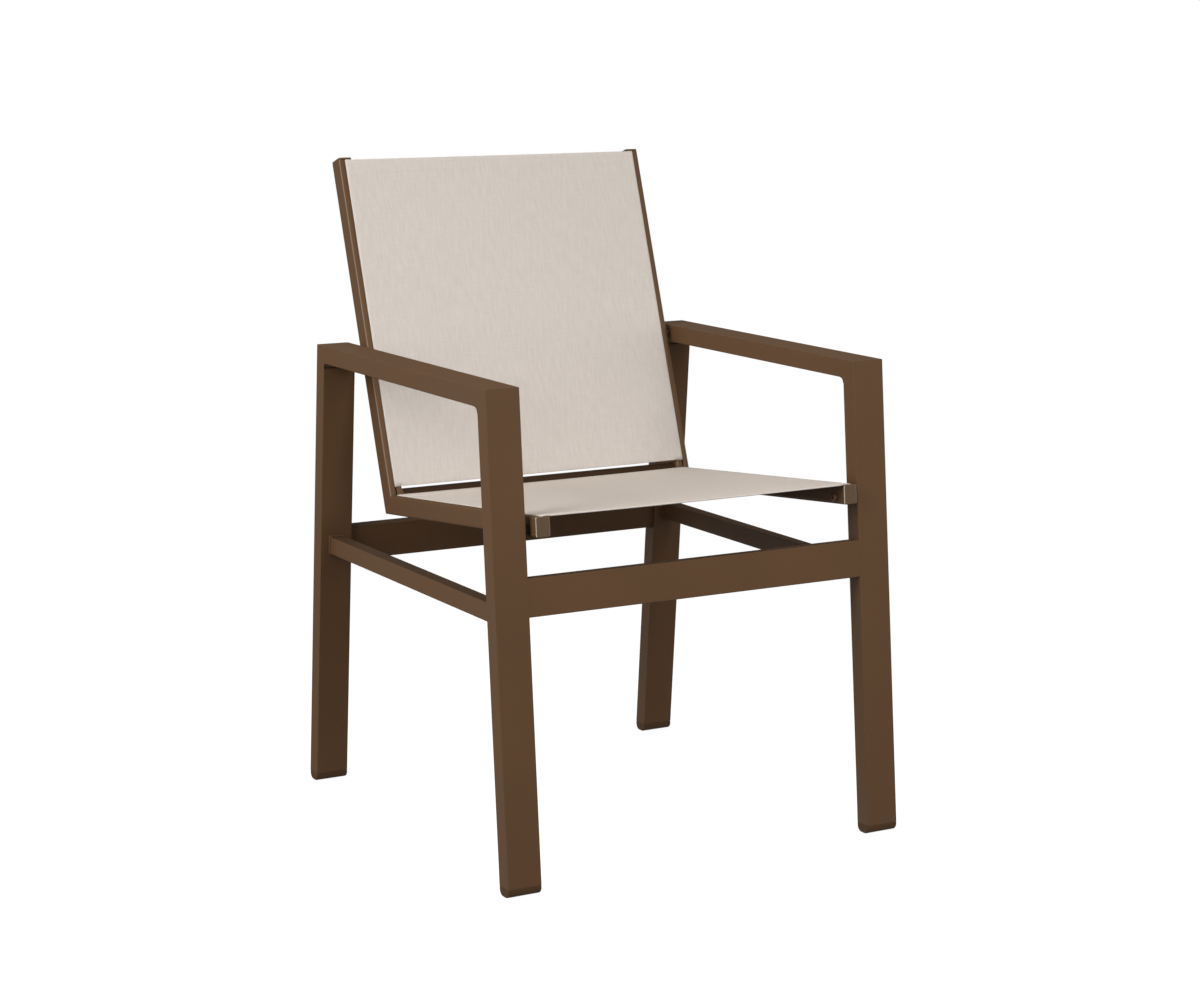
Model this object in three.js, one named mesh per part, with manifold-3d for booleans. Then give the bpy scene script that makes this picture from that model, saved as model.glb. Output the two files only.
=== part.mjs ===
import * as THREE from 'three';
import { mergeVertices } from 'three/addons/utils/BufferGeometryUtils.js';
import Module from 'manifold-3d';

// Sling patio chair. Millimetres, +Z up, the front faces -Y, the sitter's right side is at -X.
// The origin is on the ground, at the middle of the chair's footprint box.

const wasm = await Module();
wasm.setup();

// Overall sizes
const overallWidth = 600;
const armHeight = 645;
const armLength = 521;
const legSplay = 55.5;

// Frame tube: legs and arms are one oblong aluminium tube, mitred and welded
const legWidth = 48;
const tubeDepth = 25;
const tubeWall = 1.8;
const tubeCorner = 1;
const filletReach = 7;

// Cross members of the frame; each drop is measured down from the seat's front edge
const sideRailWidth = 20;
const sideRailDepth = 25;
const sideRailDrop = 115;
const apronDepth = 18;
const frontApronHeight = 50;
const frontApronDrop = 78.5;
const rearApronHeight = 50;
const rearApronDrop = 103;
const crossWall = 1.6;

// Feet: moulded plugs with a round underside
const footHeight = 12;
const footFlat = 7;
const footSpigot = 18;
const footWall = 2.2;
const footBevel = 1.2;

// Sling frame: its gap to the side frames, and the outline of its two L-shaped sides
const slingGap = 8.6;
const seatFrontHeight = 483;
const seatOverhang = 11.5;
const seatPitch = THREE.MathUtils.degToRad(5.52);
const backLength = 487;
const backLean = THREE.MathUtils.degToRad(18.84);
const backBoltSetback = 31.6;

// Extruded sling rail: an open round channel for the rod, and a closed chamber under it
const railWidth = 20;
const railDepth = 26.6;
const railWall = 1.6;
const railCorner = 3;
const channelRadius = 3.8;
const lipThickness = 1.5;
const capThickness = 3;
const capSpigot = 10;

// Spreader bars hold the two sides of the sling frame apart
const spreaderRadius = 11;
const spreaderWall = 1.6;
const seatSpreaderDistance = 180;
const upperSpreaderDrop = 70;

// Sling cloth, stretched between the rails on a rod in each sewn sleeve
const clothThickness = 1;
const rodRadius = 2.2;
const hemWidth = 22;
const backClothStart = 12.4;
const seatClothSetback = 0.8;

// Bolts that hang the sling frame between the side frames
const boltRadius = 3;
const boltHeadRadius = 6.2;
const boltHeadHeight = 3.4;
const nutRadius = 4.6;
const nutLength = 13;
const nutFlangeRadius = 6.8;
const nutFlangeThickness = 1;
const spacerRadius = 7.5;

// Fits
const clearance = 0.3;
const cutReach = 2 * armHeight;

// Facets
const cornerSteps = 3;
const channelSteps = 14;
const roundSides = 24;
const filletSteps = 5;
const footSteps = 7;

const X = new THREE.Vector3(1, 0, 0);

// Colours and finishes
const brownPaint = { color: 0x5e4733, roughness: 0.45, metalness: 0.25 };
const brownPlastic = { color: 0x4a3828, roughness: 0.55, metalness: 0 };
const bronzePlastic = { color: 0x5f4e38, roughness: 0.5, metalness: 0 };
const slingCloth = { color: 0xcfc6bb, roughness: 0.9, metalness: 0 };
const whiteRod = { color: 0xd8d4cc, roughness: 0.6, metalness: 0 };
const steel = { color: 0x8d8a85, roughness: 0.35, metalness: 0.9 };

const chair = new THREE.Group();

// Outlines

function arcPoints(centreX, centreY, radius, from, to, steps) {
  const points = [];
  for (let i = 0; i <= steps; i += 1) {
    const angle = from + (to - from) * i / steps;
    const x = centreX + radius * Math.cos(angle);
    const y = centreY + radius * Math.sin(angle);
    points.push(new THREE.Vector2(x, y));
  }
  return points;
}

function roundedRectangle(width, depth, radius) {
  const x = width / 2 - radius;
  const y = depth / 2 - radius;
  const quarter = Math.PI / 2;
  return [
    ...arcPoints(x, y, radius, 0, quarter, cornerSteps),
    ...arcPoints(-x, y, radius, quarter, 2 * quarter, cornerSteps),
    ...arcPoints(-x, -y, radius, 2 * quarter, 3 * quarter, cornerSteps),
    ...arcPoints(x, -y, radius, 3 * quarter, 4 * quarter, cornerSteps),
  ];
}

function moved(points, dx, dy) {
  return points.map((point) => new THREE.Vector2(point.x + dx, point.y + dy));
}

function tubeSection(width, depth, corner, wall) {
  const section = new THREE.Shape(roundedRectangle(width, depth, corner));
  const inside = roundedRectangle(width - 2 * wall, depth - 2 * wall, Math.max(corner - wall, wall / 2));
  section.holes.push(new THREE.Path(inside));
  return section;
}

function circle(radius) {
  return arcPoints(0, 0, radius, 0, 2 * Math.PI, roundSides).slice(1);
}

function ringSection(radius, wall) {
  const section = new THREE.Shape(circle(radius));
  section.holes.push(new THREE.Path(circle(radius - wall)));
  return section;
}

// Solids

function solidOf(geometry, matrix) {
  const bare = geometry.clone();
  bare.deleteAttribute('normal');
  bare.deleteAttribute('uv');
  bare.applyMatrix4(matrix);
  const merged = mergeVertices(bare);
  const mesh = new wasm.Mesh({
    numProp: 3,
    vertProperties: new Float32Array(merged.attributes.position.array),
    triVerts: new Uint32Array(merged.index.array),
  });
  return new wasm.Manifold(mesh);
}

// The section's x lies along `across`, and its y along run x across
function extrudeBetween(section, start, end, across) {
  const run = end.clone().sub(start);
  const length = run.length();
  const geometry = new THREE.ExtrudeGeometry(section, { depth: length, bevelEnabled: false });
  const along = run.normalize();
  const sideways = across.clone().normalize();
  const matrix = new THREE.Matrix4().makeBasis(sideways, along.clone().cross(sideways), along);
  matrix.setPosition(start);
  return solidOf(geometry, matrix);
}

// Takes away everything beyond a plane, on the side that its normal points to
function cutBeyond(solid, point, normal) {
  const block = new THREE.BoxGeometry(cutReach, cutReach, cutReach);
  const turn = new THREE.Quaternion().setFromUnitVectors(new THREE.Vector3(0, 0, 1), normal.clone().normalize());
  const place = point.clone().addScaledVector(normal.clone().normalize(), cutReach / 2);
  const matrix = new THREE.Matrix4().compose(place, turn, new THREE.Vector3(1, 1, 1));
  return solid.subtract(solidOf(block, matrix));
}

function cylinderAlongX(radius, fromX, toX, centre) {
  const start = new THREE.Vector3(fromX, centre.y, centre.z);
  const end = new THREE.Vector3(toX, centre.y, centre.z);
  return extrudeBetween(new THREE.Shape(circle(radius)), start, end, new THREE.Vector3(0, 1, 0));
}

function addPart(name, solid, finish) {
  const mesh = solid.getMesh();
  const geometry = new THREE.BufferGeometry();
  geometry.setAttribute('position', new THREE.BufferAttribute(new Float32Array(mesh.vertProperties), 3));
  geometry.setIndex(new THREE.BufferAttribute(new Uint32Array(mesh.triVerts), 1));
  geometry.computeVertexNormals();
  const part = new THREE.Mesh(geometry, new THREE.MeshStandardMaterial(finish));
  part.name = name;
  chair.add(part);
}

// A point of the side view, at a given x
function at(x, y, z) {
  return new THREE.Vector3(x, y, z);
}

// Where two lines of the side view cross
function meet(point, along, other, otherAlong) {
  const dy = other.y - point.y;
  const dz = other.z - point.z;
  const spread = along.y * otherAlong.z - along.z * otherAlong.y;
  const t = (dy * otherAlong.z - dz * otherAlong.y) / spread;
  return point.clone().addScaledVector(along, t);
}

// Side frames: front leg, arm and rear leg, alike at the front and the rear

const lean = Math.atan2(legSplay, armHeight);
const sides = [['left', -1], ['right', 1]];
const ends = [['front', -1], ['rear', 1]];
const legCentreX = overallWidth / 2 - legWidth / 2;
const legInnerX = overallWidth / 2 - legWidth;
const legSection = tubeSection(legWidth, tubeDepth, tubeCorner, tubeWall);

// end is -1 at the front and 1 at the rear; inward points from the leg's outer face into the chair
function legLine(end) {
  const up = at(0, -end * Math.sin(lean), Math.cos(lean));
  const inward = at(0, -end * Math.cos(lean), -Math.sin(lean));
  const corner = at(0, end * armLength / 2, armHeight);
  const foot = at(0, end * (armLength / 2 + legSplay), 0);
  const mitre = at(0, -end, 0).sub(up).normalize();
  const mitreNormal = at(0, end * mitre.z, -end * mitre.y);
  return { up, inward, corner, foot, mitreNormal };
}

function legOuterY(end, height) {
  return end * (armLength / 2 + legSplay * (1 - height / armHeight));
}

function legCentre(end, height) {
  const { inward } = legLine(end);
  return at(0, legOuterY(end, height), height).addScaledVector(inward, tubeDepth / 2);
}

// The sling frame's side view: its seat line starts ahead of the front legs, its back line runs through
// the arm bolts, and its corner is where the two lines cross

const slingWidth = 2 * (legInnerX - slingGap);
const railCentreX = slingWidth / 2 - railWidth / 2;
const railInnerX = slingWidth / 2 - railWidth;
const channelDepth = lipThickness + channelRadius;
const chamberTop = channelDepth + channelRadius + railWall;
const chamberDepth = railDepth - railWall - chamberTop;
const chamberCentre = chamberTop + chamberDepth / 2;

const seatFront = at(0, legOuterY(-1, seatFrontHeight) - seatOverhang, seatFrontHeight);
const seatRun = at(0, Math.cos(seatPitch), -Math.sin(seatPitch));
const seatDown = seatRun.clone().cross(X);
const backRun = at(0, Math.sin(backLean), Math.cos(backLean));
const backDown = backRun.clone().cross(X);
const backBolt = at(0, armLength / 2 - backBoltSetback, armHeight - tubeDepth / 2);
const backFace = backBolt.clone().addScaledVector(backDown, -chamberCentre);
const corner = meet(seatFront, seatRun, backFace, backRun);

// The seat bolt stands where the seat rail's chamber crosses the middle of the front leg
const seatChamber = seatFront.clone().addScaledVector(seatDown, chamberCentre);
const seatBolt = meet(seatChamber, seatRun, legCentre(-1, armHeight), legLine(-1).up);

function nutHole(side, centre) {
  const inside = side * (legInnerX + legWidth / 2);
  const outside = side * (legInnerX - legWidth / 2);
  return cylinderAlongX(nutRadius + clearance, inside, outside, centre);
}

function makeLegs() {
  for (const [endName, end] of ends) {
    const { up, inward, corner: top, foot, mitreNormal } = legLine(end);
    for (const [sideName, side] of sides) {
      const axis = foot.clone().addScaledVector(inward, tubeDepth / 2).setX(side * legCentreX);
      const start = axis.clone().addScaledVector(up, -tubeDepth);
      const finish = axis.clone().addScaledVector(up, armHeight + 2 * tubeDepth);
      let leg = extrudeBetween(legSection, start, finish, X);
      const above = top.clone().addScaledVector(mitreNormal, -clearance / 2);
      leg = cutBeyond(leg, above, mitreNormal);
      leg = cutBeyond(leg, at(0, 0, footHeight + clearance), at(0, 0, -1));
      if (end < 0) leg = leg.subtract(nutHole(side, seatBolt));
      addPart(`${endName}_leg_${sideName}`, leg, brownPaint);
    }
  }
}

// A concave weld fillet under the arm, against the leg's inner face
function weldFillet(end, centreX) {
  const { up, inward, corner: top } = legLine(end);
  const underArm = at(0, -end, 0);
  const below = armHeight - tubeDepth;
  const legFace = top.clone().addScaledVector(inward, tubeDepth + clearance);
  const inner = meet(legFace, up, at(0, 0, below), underArm);
  const curve = new THREE.QuadraticBezierCurve(
    new THREE.Vector2(filletReach, 0),
    new THREE.Vector2(clearance, -clearance),
    new THREE.Vector2(-filletReach * Math.sin(lean), -filletReach * Math.cos(lean)),
  );
  const insideWall = tubeWall / 2;
  const shape = new THREE.Shape([
    new THREE.Vector2(0, insideWall),
    new THREE.Vector2(filletReach, insideWall),
    ...curve.getPoints(filletSteps),
    new THREE.Vector2(0, 0),
  ]);
  const start = inner.clone().setX(centreX + end * legWidth / 2);
  const stop = inner.clone().setX(centreX - end * legWidth / 2);
  return extrudeBetween(shape, start, stop, underArm);
}

function makeArms() {
  for (const [sideName, side] of sides) {
    const reach = armLength / 2 + tubeDepth;
    const height = armHeight - tubeDepth / 2;
    const start = at(side * legCentreX, -reach, height);
    const finish = at(side * legCentreX, reach, height);
    let arm = extrudeBetween(legSection, start, finish, X);
    for (const [, end] of ends) {
      const { corner: top, mitreNormal } = legLine(end);
      const edge = top.clone().addScaledVector(mitreNormal, clearance / 2);
      arm = cutBeyond(arm, edge, mitreNormal.clone().negate());
      arm = arm.add(weldFillet(end, side * legCentreX));
    }
    arm = arm.subtract(nutHole(side, backBolt));
    addPart(`arm_${sideName}`, arm, brownPaint);
  }
}

function makeFeet() {
  const spigotWidth = legWidth - 2 * (tubeWall + clearance);
  const spigotDepth = tubeDepth - 2 * (tubeWall + clearance);
  const spigotSection = tubeSection(spigotWidth, spigotDepth, tubeCorner, footWall);
  for (const [endName, end] of ends) {
    const { up } = legLine(end);
    const outerY = legOuterY(end, footHeight);
    const depth = tubeDepth / Math.cos(lean);
    const middleY = outerY - end * depth / 2;
    const radius = (depth - footFlat) / 2;
    const quarter = Math.PI / 2;
    const outline = [
      new THREE.Vector2(depth / 2, footHeight),
      ...arcPoints(footFlat / 2, radius, radius, 0, -quarter, footSteps),
      ...arcPoints(-footFlat / 2, radius, radius, -quarter, -2 * quarter, footSteps),
      new THREE.Vector2(-depth / 2, footHeight),
    ];
    const geometry = new THREE.ExtrudeGeometry(new THREE.Shape(outline), {
      depth: legWidth - 2 * footBevel,
      bevelThickness: footBevel,
      bevelSize: footBevel,
      bevelOffset: -footBevel,
      bevelSegments: 2,
    });
    for (const [sideName, side] of sides) {
      const matrix = new THREE.Matrix4().makeBasis(at(0, 1, 0), at(0, 0, 1), X);
      matrix.setPosition(at(side * legCentreX - legWidth / 2 + footBevel, middleY, 0));
      let foot = solidOf(geometry, matrix);
      foot = cutBeyond(foot, at(0, 0, footHeight), at(0, 0, 1));
      const centre = legCentre(end, footHeight).setX(side * legCentreX);
      const start = centre.clone().addScaledVector(up, -footWall);
      const stop = centre.clone().addScaledVector(up, footSpigot);
      foot = foot.add(extrudeBetween(spigotSection, start, stop, X));
      addPart(`${endName}_foot_${sideName}`, foot, brownPlastic);
    }
  }
}

function makeSideRails() {
  const section = tubeSection(sideRailWidth, sideRailDepth, tubeCorner, crossWall);
  const height = seatFrontHeight - sideRailDrop - sideRailDepth / 2;
  const reach = armLength / 2 + legSplay;
  for (const [sideName, side] of sides) {
    let rail = extrudeBetween(section, at(side * legCentreX, -reach, height), at(side * legCentreX, reach, height), X);
    for (const [, end] of ends) {
      const { corner: top, inward } = legLine(end);
      const face = top.clone().addScaledVector(inward, tubeDepth + clearance);
      rail = cutBeyond(rail, face, inward.clone().negate());
    }
    addPart(`side_rail_${sideName}`, rail, brownPaint);
  }
}

// An apron stands in the plane of its two legs, flush with their outer faces
function makeApron(name, end, height, top) {
  const { up, inward } = legLine(end);
  const section = tubeSection(height, apronDepth, tubeCorner, crossWall);
  const reach = legInnerX - clearance;
  const centre = at(0, legOuterY(end, top), top);
  centre.addScaledVector(up, -height / 2).addScaledVector(inward, apronDepth / 2);
  const apron = extrudeBetween(section, centre.clone().setX(-reach), centre.clone().setX(reach), up);
  addPart(name, apron, brownPaint);
}

// Sling frame: seat rails and back rails, mitred where they meet

// x runs from the rail's middle, y from its face down into its depth
function railSection() {
  const half = railWidth / 2;
  const neck = 2 * clothThickness + 2 * clearance;
  const opening = Math.asin(neck / 2 / channelRadius);
  const quarter = Math.PI / 2;
  const corners = moved(roundedRectangle(railWidth, railDepth, railCorner), 0, railDepth / 2);
  const quarterCount = cornerSteps + 1;
  const bottomCorners = corners.slice(0, 2 * quarterCount);
  const topCorners = corners.slice(2 * quarterCount);
  const mouth = -quarter - opening;
  const round = 2 * Math.PI - 2 * opening;
  const channel = arcPoints(0, channelDepth, channelRadius, mouth, mouth - round, channelSteps);
  const outline = [
    ...bottomCorners,
    ...topCorners.slice(0, quarterCount),
    new THREE.Vector2(-neck / 2, 0),
    ...channel,
    new THREE.Vector2(neck / 2, 0),
    ...topCorners.slice(quarterCount),
  ];
  const section = new THREE.Shape(outline);
  const chamber = roundedRectangle(2 * (half - railWall), chamberDepth, railCorner - railWall);
  section.holes.push(new THREE.Path(moved(chamber, 0, chamberCentre)));
  return section;
}

const cornerMitre = backRun.clone().sub(seatRun).normalize();
const cornerNormal = cornerMitre.clone().cross(X).normalize();

function boltHole(side, centre) {
  const middle = side * railCentreX;
  return cylinderAlongX(boltRadius + clearance, middle - railWidth, middle + railWidth, centre);
}

function makeSlingRails() {
  const section = railSection();
  for (const [sideName, side] of sides) {
    const x = side * railCentreX;
    const seatStart = seatFront.clone().addScaledVector(seatRun, capThickness + clearance).setX(x);
    const seatStop = corner.clone().addScaledVector(seatRun, 2 * railDepth).setX(x);
    let seat = extrudeBetween(section, seatStart, seatStop, X);
    seat = cutBeyond(seat, corner.clone().addScaledVector(cornerNormal, -clearance / 2), cornerNormal);
    addPart(`seat_rail_${sideName}`, seat.subtract(boltHole(side, seatBolt)), brownPaint);

    const backStart = corner.clone().addScaledVector(backRun, -2 * railDepth).setX(x);
    const backStop = corner.clone().addScaledVector(backRun, backLength - capThickness - clearance).setX(x);
    let back = extrudeBetween(section, backStart, backStop, X);
    const away = cornerNormal.clone().negate();
    back = cutBeyond(back, corner.clone().addScaledVector(cornerNormal, clearance / 2), away);
    addPart(`back_rail_${sideName}`, back.subtract(boltHole(side, backBolt)), brownPaint);
  }
}

// A moulded cap closes each rail's open end and plugs into its chamber
function railCap(end, inside, down, x) {
  const plate = new THREE.Shape(roundedRectangle(railWidth, railDepth, railCorner));
  const fit = railWall + clearance;
  const plugWidth = railWidth - 2 * fit;
  const plugDepth = chamberDepth - 2 * clearance;
  const plug = new THREE.Shape(roundedRectangle(plugWidth, plugDepth, railCorner - railWall));
  const faceCentre = end.clone().addScaledVector(down, railDepth / 2).setX(x);
  const plugCentre = end.clone().addScaledVector(down, chamberCentre).setX(x);
  const plateStop = faceCentre.clone().addScaledVector(inside, capThickness);
  const plugStart = plugCentre.clone().addScaledVector(inside, capThickness / 2);
  const plugStop = plugCentre.clone().addScaledVector(inside, capThickness + capSpigot);
  return extrudeBetween(plate, faceCentre, plateStop, X).add(extrudeBetween(plug, plugStart, plugStop, X));
}

function makeRailCaps() {
  const backTop = corner.clone().addScaledVector(backRun, backLength);
  for (const [sideName, side] of sides) {
    const x = side * railCentreX;
    addPart(`seat_rail_cap_${sideName}`, railCap(seatFront, seatRun, seatDown, x), bronzePlastic);
    addPart(`back_rail_cap_${sideName}`, railCap(backTop, backRun.clone().negate(), backDown, x), bronzePlastic);
  }
}

function makeSpreader(name, place) {
  const reach = railInnerX - clearance;
  const section = ringSection(spreaderRadius, spreaderWall);
  const bar = extrudeBetween(section, place.clone().setX(-reach), place.clone().setX(reach), at(0, 1, 0));
  addPart(name, bar, brownPaint);
}

function makeSpreaders() {
  const low = railDepth - spreaderRadius;
  const seatPlace = corner.clone().addScaledVector(seatRun, -seatSpreaderDistance).addScaledVector(seatDown, low);
  const upperPlace = corner.clone().addScaledVector(backRun, backLength - upperSpreaderDrop);
  makeSpreader('corner_spreader', corner.clone().addScaledVector(backDown, railDepth / 2));
  makeSpreader('seat_spreader', seatPlace);
  makeSpreader('upper_back_spreader', upperPlace.addScaledVector(backDown, low));
}

// Sling cloth: a flat panel whose two edges turn down the slots and round the rods

const sleeveRadius = rodRadius + clearance + clothThickness;

function clothSection() {
  const top = -clearance - clothThickness;
  const quarter = Math.PI / 2;
  const half = Math.asin(clothThickness / sleeveRadius);
  const sleeve = (x) => arcPoints(x, channelDepth, sleeveRadius, -quarter + half, 3 * quarter - half, channelSteps);
  const outline = [
    new THREE.Vector2(-railCentreX - clothThickness, top),
    new THREE.Vector2(railCentreX + clothThickness, top),
    ...sleeve(railCentreX),
    new THREE.Vector2(railCentreX - clothThickness, -clearance),
    new THREE.Vector2(-railCentreX + clothThickness, -clearance),
    ...sleeve(-railCentreX),
  ];
  const section = new THREE.Shape(outline);
  for (const x of [-railCentreX, railCentreX]) {
    section.holes.push(new THREE.Path(moved(circle(rodRadius + clearance), x, channelDepth)));
  }
  return section;
}

// A hem is a second layer under the panel, between the rails
function hem(start, run, down) {
  const width = 2 * (railInnerX - clothThickness);
  const layers = 1.5 * clothThickness;
  const strip = new THREE.Shape(roundedRectangle(width, layers, clothThickness / 4));
  const from = start.clone().addScaledVector(down, clothThickness - clearance - layers / 2);
  return extrudeBetween(strip, from, from.clone().addScaledVector(run, hemWidth), X);
}

function makeSling(name, start, stop, run, down, extra) {
  let cloth = extrudeBetween(clothSection(), start, stop, X);
  cloth = cloth.add(hem(start.clone().addScaledVector(run, clearance - extra), run, down));
  cloth = cloth.add(hem(stop.clone().addScaledVector(run, -hemWidth - clearance), run, down));
  if (extra > 0) {
    const width = 2 * (railCentreX + clothThickness);
    const lip = new THREE.Shape(roundedRectangle(width, clothThickness, clothThickness / 4));
    const from = start.clone().addScaledVector(down, -clearance - clothThickness / 2);
    const ahead = from.clone().addScaledVector(run, -extra);
    cloth = cloth.add(extrudeBetween(lip, ahead, from.clone().addScaledVector(run, clothThickness), X));
  }
  addPart(name, cloth, slingCloth);
  for (const [sideName, side] of sides) {
    const x = side * railCentreX;
    const from = start.clone().addScaledVector(down, channelDepth).setX(x);
    const to = stop.clone().addScaledVector(down, channelDepth).setX(x);
    const rod = extrudeBetween(new THREE.Shape(circle(rodRadius)), from, to, X);
    addPart(`${name.replace('sling', 'rod')}_${sideName}`, rod, whiteRod);
  }
}

function makeSlings() {
  const inset = capThickness + 2 * clearance;
  const seatStart = seatFront.clone().addScaledVector(seatRun, inset);
  const seatStop = corner.clone().addScaledVector(seatRun, -2 * clearance);
  makeSling('seat_sling', seatStart, seatStop, seatRun, seatDown, inset - seatClothSetback);
  const backStart = corner.clone().addScaledVector(backRun, backClothStart);
  const backStop = corner.clone().addScaledVector(backRun, backLength - inset);
  makeSling('back_sling', backStart, backStop, backRun, backDown, 0);
}

// Fasteners: bolt through the rail, spacer in the gap, threaded insert in the tube's wall

function revolveAlongX(profile, side, fromX, centre) {
  const geometry = new THREE.LatheGeometry(profile, roundSides);
  const along = at(side, 0, 0);
  const matrix = new THREE.Matrix4().makeBasis(at(0, side, 0), along, at(0, 0, 1).negate());
  matrix.setPosition(at(fromX, centre.y, centre.z));
  return solidOf(geometry, matrix);
}

function makeBolts(name, centre) {
  const flangeX = legInnerX - clearance - nutFlangeThickness;
  const spacerLength = slingGap - nutFlangeThickness - 3 * clearance;
  const shank = railWidth + slingGap + nutLength - 2 * nutFlangeThickness;
  const headRound = boltHeadHeight / 2;
  const v = (x, y) => new THREE.Vector2(x, y);
  const boltProfile = [
    v(0, -boltHeadHeight),
    v(boltHeadRadius - headRound, -boltHeadHeight),
    v(boltHeadRadius - headRound / 3, -boltHeadHeight + headRound / 2),
    v(boltHeadRadius, -headRound / 2),
    v(boltHeadRadius, 0),
    v(boltRadius, 0),
    v(boltRadius, shank),
    v(0, shank),
  ];
  const spacerProfile = [
    v(boltRadius + clearance, 0),
    v(spacerRadius, 0),
    v(spacerRadius, spacerLength),
    v(boltRadius + clearance, spacerLength),
    v(boltRadius + clearance, 0),
  ];
  const nutProfile = [
    v(boltRadius + clearance, 0),
    v(nutFlangeRadius, 0),
    v(nutFlangeRadius, nutFlangeThickness),
    v(nutRadius, nutFlangeThickness),
    v(nutRadius, nutLength),
    v(boltRadius + clearance, nutLength),
    v(boltRadius + clearance, 0),
  ];
  for (const [sideName, side] of sides) {
    const headX = side * (railInnerX - clearance);
    const spacerX = side * (slingWidth / 2 + clearance);
    addPart(`${name}_bolt_${sideName}`, revolveAlongX(boltProfile, side, headX, centre), brownPaint);
    addPart(`${name}_spacer_${sideName}`, revolveAlongX(spacerProfile, side, spacerX, centre), brownPlastic);
    addPart(`${name}_nut_insert_${sideName}`, revolveAlongX(nutProfile, side, side * flangeX, centre), steel);
  }
}

makeLegs();
makeArms();
makeFeet();
makeSideRails();
makeApron('front_apron', -1, frontApronHeight, seatFrontHeight - frontApronDrop);
makeApron('rear_apron', 1, rearApronHeight, seatFrontHeight - rearApronDrop);
makeSlingRails();
makeRailCaps();
makeSpreaders();
makeSlings();
makeBolts('seat', seatBolt);
makeBolts('back', backBolt);

// The footprint box runs from the front feet to the rear of the back rails' tops
const frontReach = legOuterY(-1, footHeight);
const rearReach = corner.y + backLength * backRun.y + railDepth * backDown.y;
chair.position.y = -(frontReach + rearReach) / 2;

export default chair;
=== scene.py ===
import math

import bmesh
import bpy
from mathutils import Matrix, Vector, noise


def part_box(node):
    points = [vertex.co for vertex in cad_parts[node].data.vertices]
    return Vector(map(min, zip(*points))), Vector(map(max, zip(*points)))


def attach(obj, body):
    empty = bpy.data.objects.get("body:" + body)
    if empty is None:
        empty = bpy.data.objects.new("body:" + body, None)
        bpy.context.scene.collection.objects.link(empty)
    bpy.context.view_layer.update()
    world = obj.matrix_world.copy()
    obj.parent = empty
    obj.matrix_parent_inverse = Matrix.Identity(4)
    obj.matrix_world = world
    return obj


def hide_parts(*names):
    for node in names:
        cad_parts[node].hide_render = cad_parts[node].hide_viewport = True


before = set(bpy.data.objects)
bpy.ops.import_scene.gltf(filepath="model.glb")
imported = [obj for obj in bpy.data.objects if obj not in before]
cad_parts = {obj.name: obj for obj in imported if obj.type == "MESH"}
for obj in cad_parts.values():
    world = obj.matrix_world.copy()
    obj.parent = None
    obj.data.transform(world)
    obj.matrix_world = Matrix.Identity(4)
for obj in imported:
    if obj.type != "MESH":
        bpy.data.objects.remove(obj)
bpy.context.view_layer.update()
print("frame loaded:", len(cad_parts), "nodes")

# The chair's own lengths in metres and angles in radians, as the frame has them
chair = {
    "armHeight": 0.645,
    "armLength": 0.521,
    "legSplay": 0.0555,
    "legWidth": 0.048,
    "tubeDepth": 0.025,
    "tubeCorner": 0.001,
    "apronHeight": 0.05,
    "apronDepth": 0.018,
    "legInnerX": 0.252,
    "legCentreX": 0.276,
    "railWidth": 0.020,
    "railDepth": 0.0266,
    "railCorner": 0.003,
    "railCentreX": 0.2334,
    "railInnerX": 0.2234,
    "chamberCentre": 0.01785,
    "seatFrontHeight": 0.483,
    "seatOverhang": 0.0115,
    "seatPitch": math.radians(5.52),
    "backLean": math.radians(18.84),
    "backLength": 0.487,
    "backBoltSetback": 0.0316,
    "clearance": 0.0003,
}

xAxis = Vector((1, 0, 0))
sides = {"left": -1, "right": 1}
ends = {"front": -1, "rear": 1}


def boxMiddle(node):
    low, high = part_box(node)
    return (low + high) / 2


middleY = boxMiddle("side_rail_left").y  # the side frames are alike in front of it and behind it
lean = math.atan2(chair["legSplay"], chair["armHeight"])


def at(y, z, x=0.0):
    return Vector((x, y + middleY, z))


def legOuterY(end, height):
    return end * (chair["armLength"] / 2 + chair["legSplay"] * (1 - height / chair["armHeight"]))


def meet(point, along, other, otherAlong):
    # where two lines of the side view cross
    dy, dz = other.y - point.y, other.z - point.z
    spread = along.y * otherAlong.z - along.z * otherAlong.y
    return point + along * ((dy * otherAlong.z - dz * otherAlong.y) / spread)


seatRun = Vector((0, math.cos(chair["seatPitch"]), -math.sin(chair["seatPitch"])))
seatDown = seatRun.cross(xAxis)
backRun = Vector((0, math.sin(chair["backLean"]), math.cos(chair["backLean"])))
backDown = backRun.cross(xAxis)
seatFront = at(legOuterY(-1, chair["seatFrontHeight"]) - chair["seatOverhang"], chair["seatFrontHeight"])
backBolt = at(chair["armLength"] / 2 - chair["backBoltSetback"], chair["armHeight"] - chair["tubeDepth"] / 2)
seatBolt = boxMiddle("seat_bolt_left")
corner = meet(seatFront, seatRun, backBolt - backDown * chair["chamberCentre"], backRun)
seatLength = (corner - seatFront).length


def legAxes(end):
    up = Vector((0, -end * math.sin(lean), math.cos(lean)))
    inward = Vector((0, -end * math.cos(lean), -math.sin(lean)))
    return up, inward


# Node helpers

nodeSpacing = 200


def addNode(tree, kind, place, **values):
    node = tree.nodes.new(kind)
    node.location = (place[0] * nodeSpacing, -place[1] * nodeSpacing)
    for name, value in values.items():
        setattr(node, name, value)
    return node


def feed(tree, value, socket):
    if isinstance(value, bpy.types.NodeSocket):
        tree.links.new(value, socket)
    else:
        socket.default_value = value


def calc(tree, operation, a, b=None, place=(0, 0), clamp=False):
    node = addNode(tree, "ShaderNodeMath", place, operation=operation, use_clamp=clamp)
    feed(tree, a, node.inputs[0])
    if b is not None:
        feed(tree, b, node.inputs[1])
    return node.outputs[0]


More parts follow.
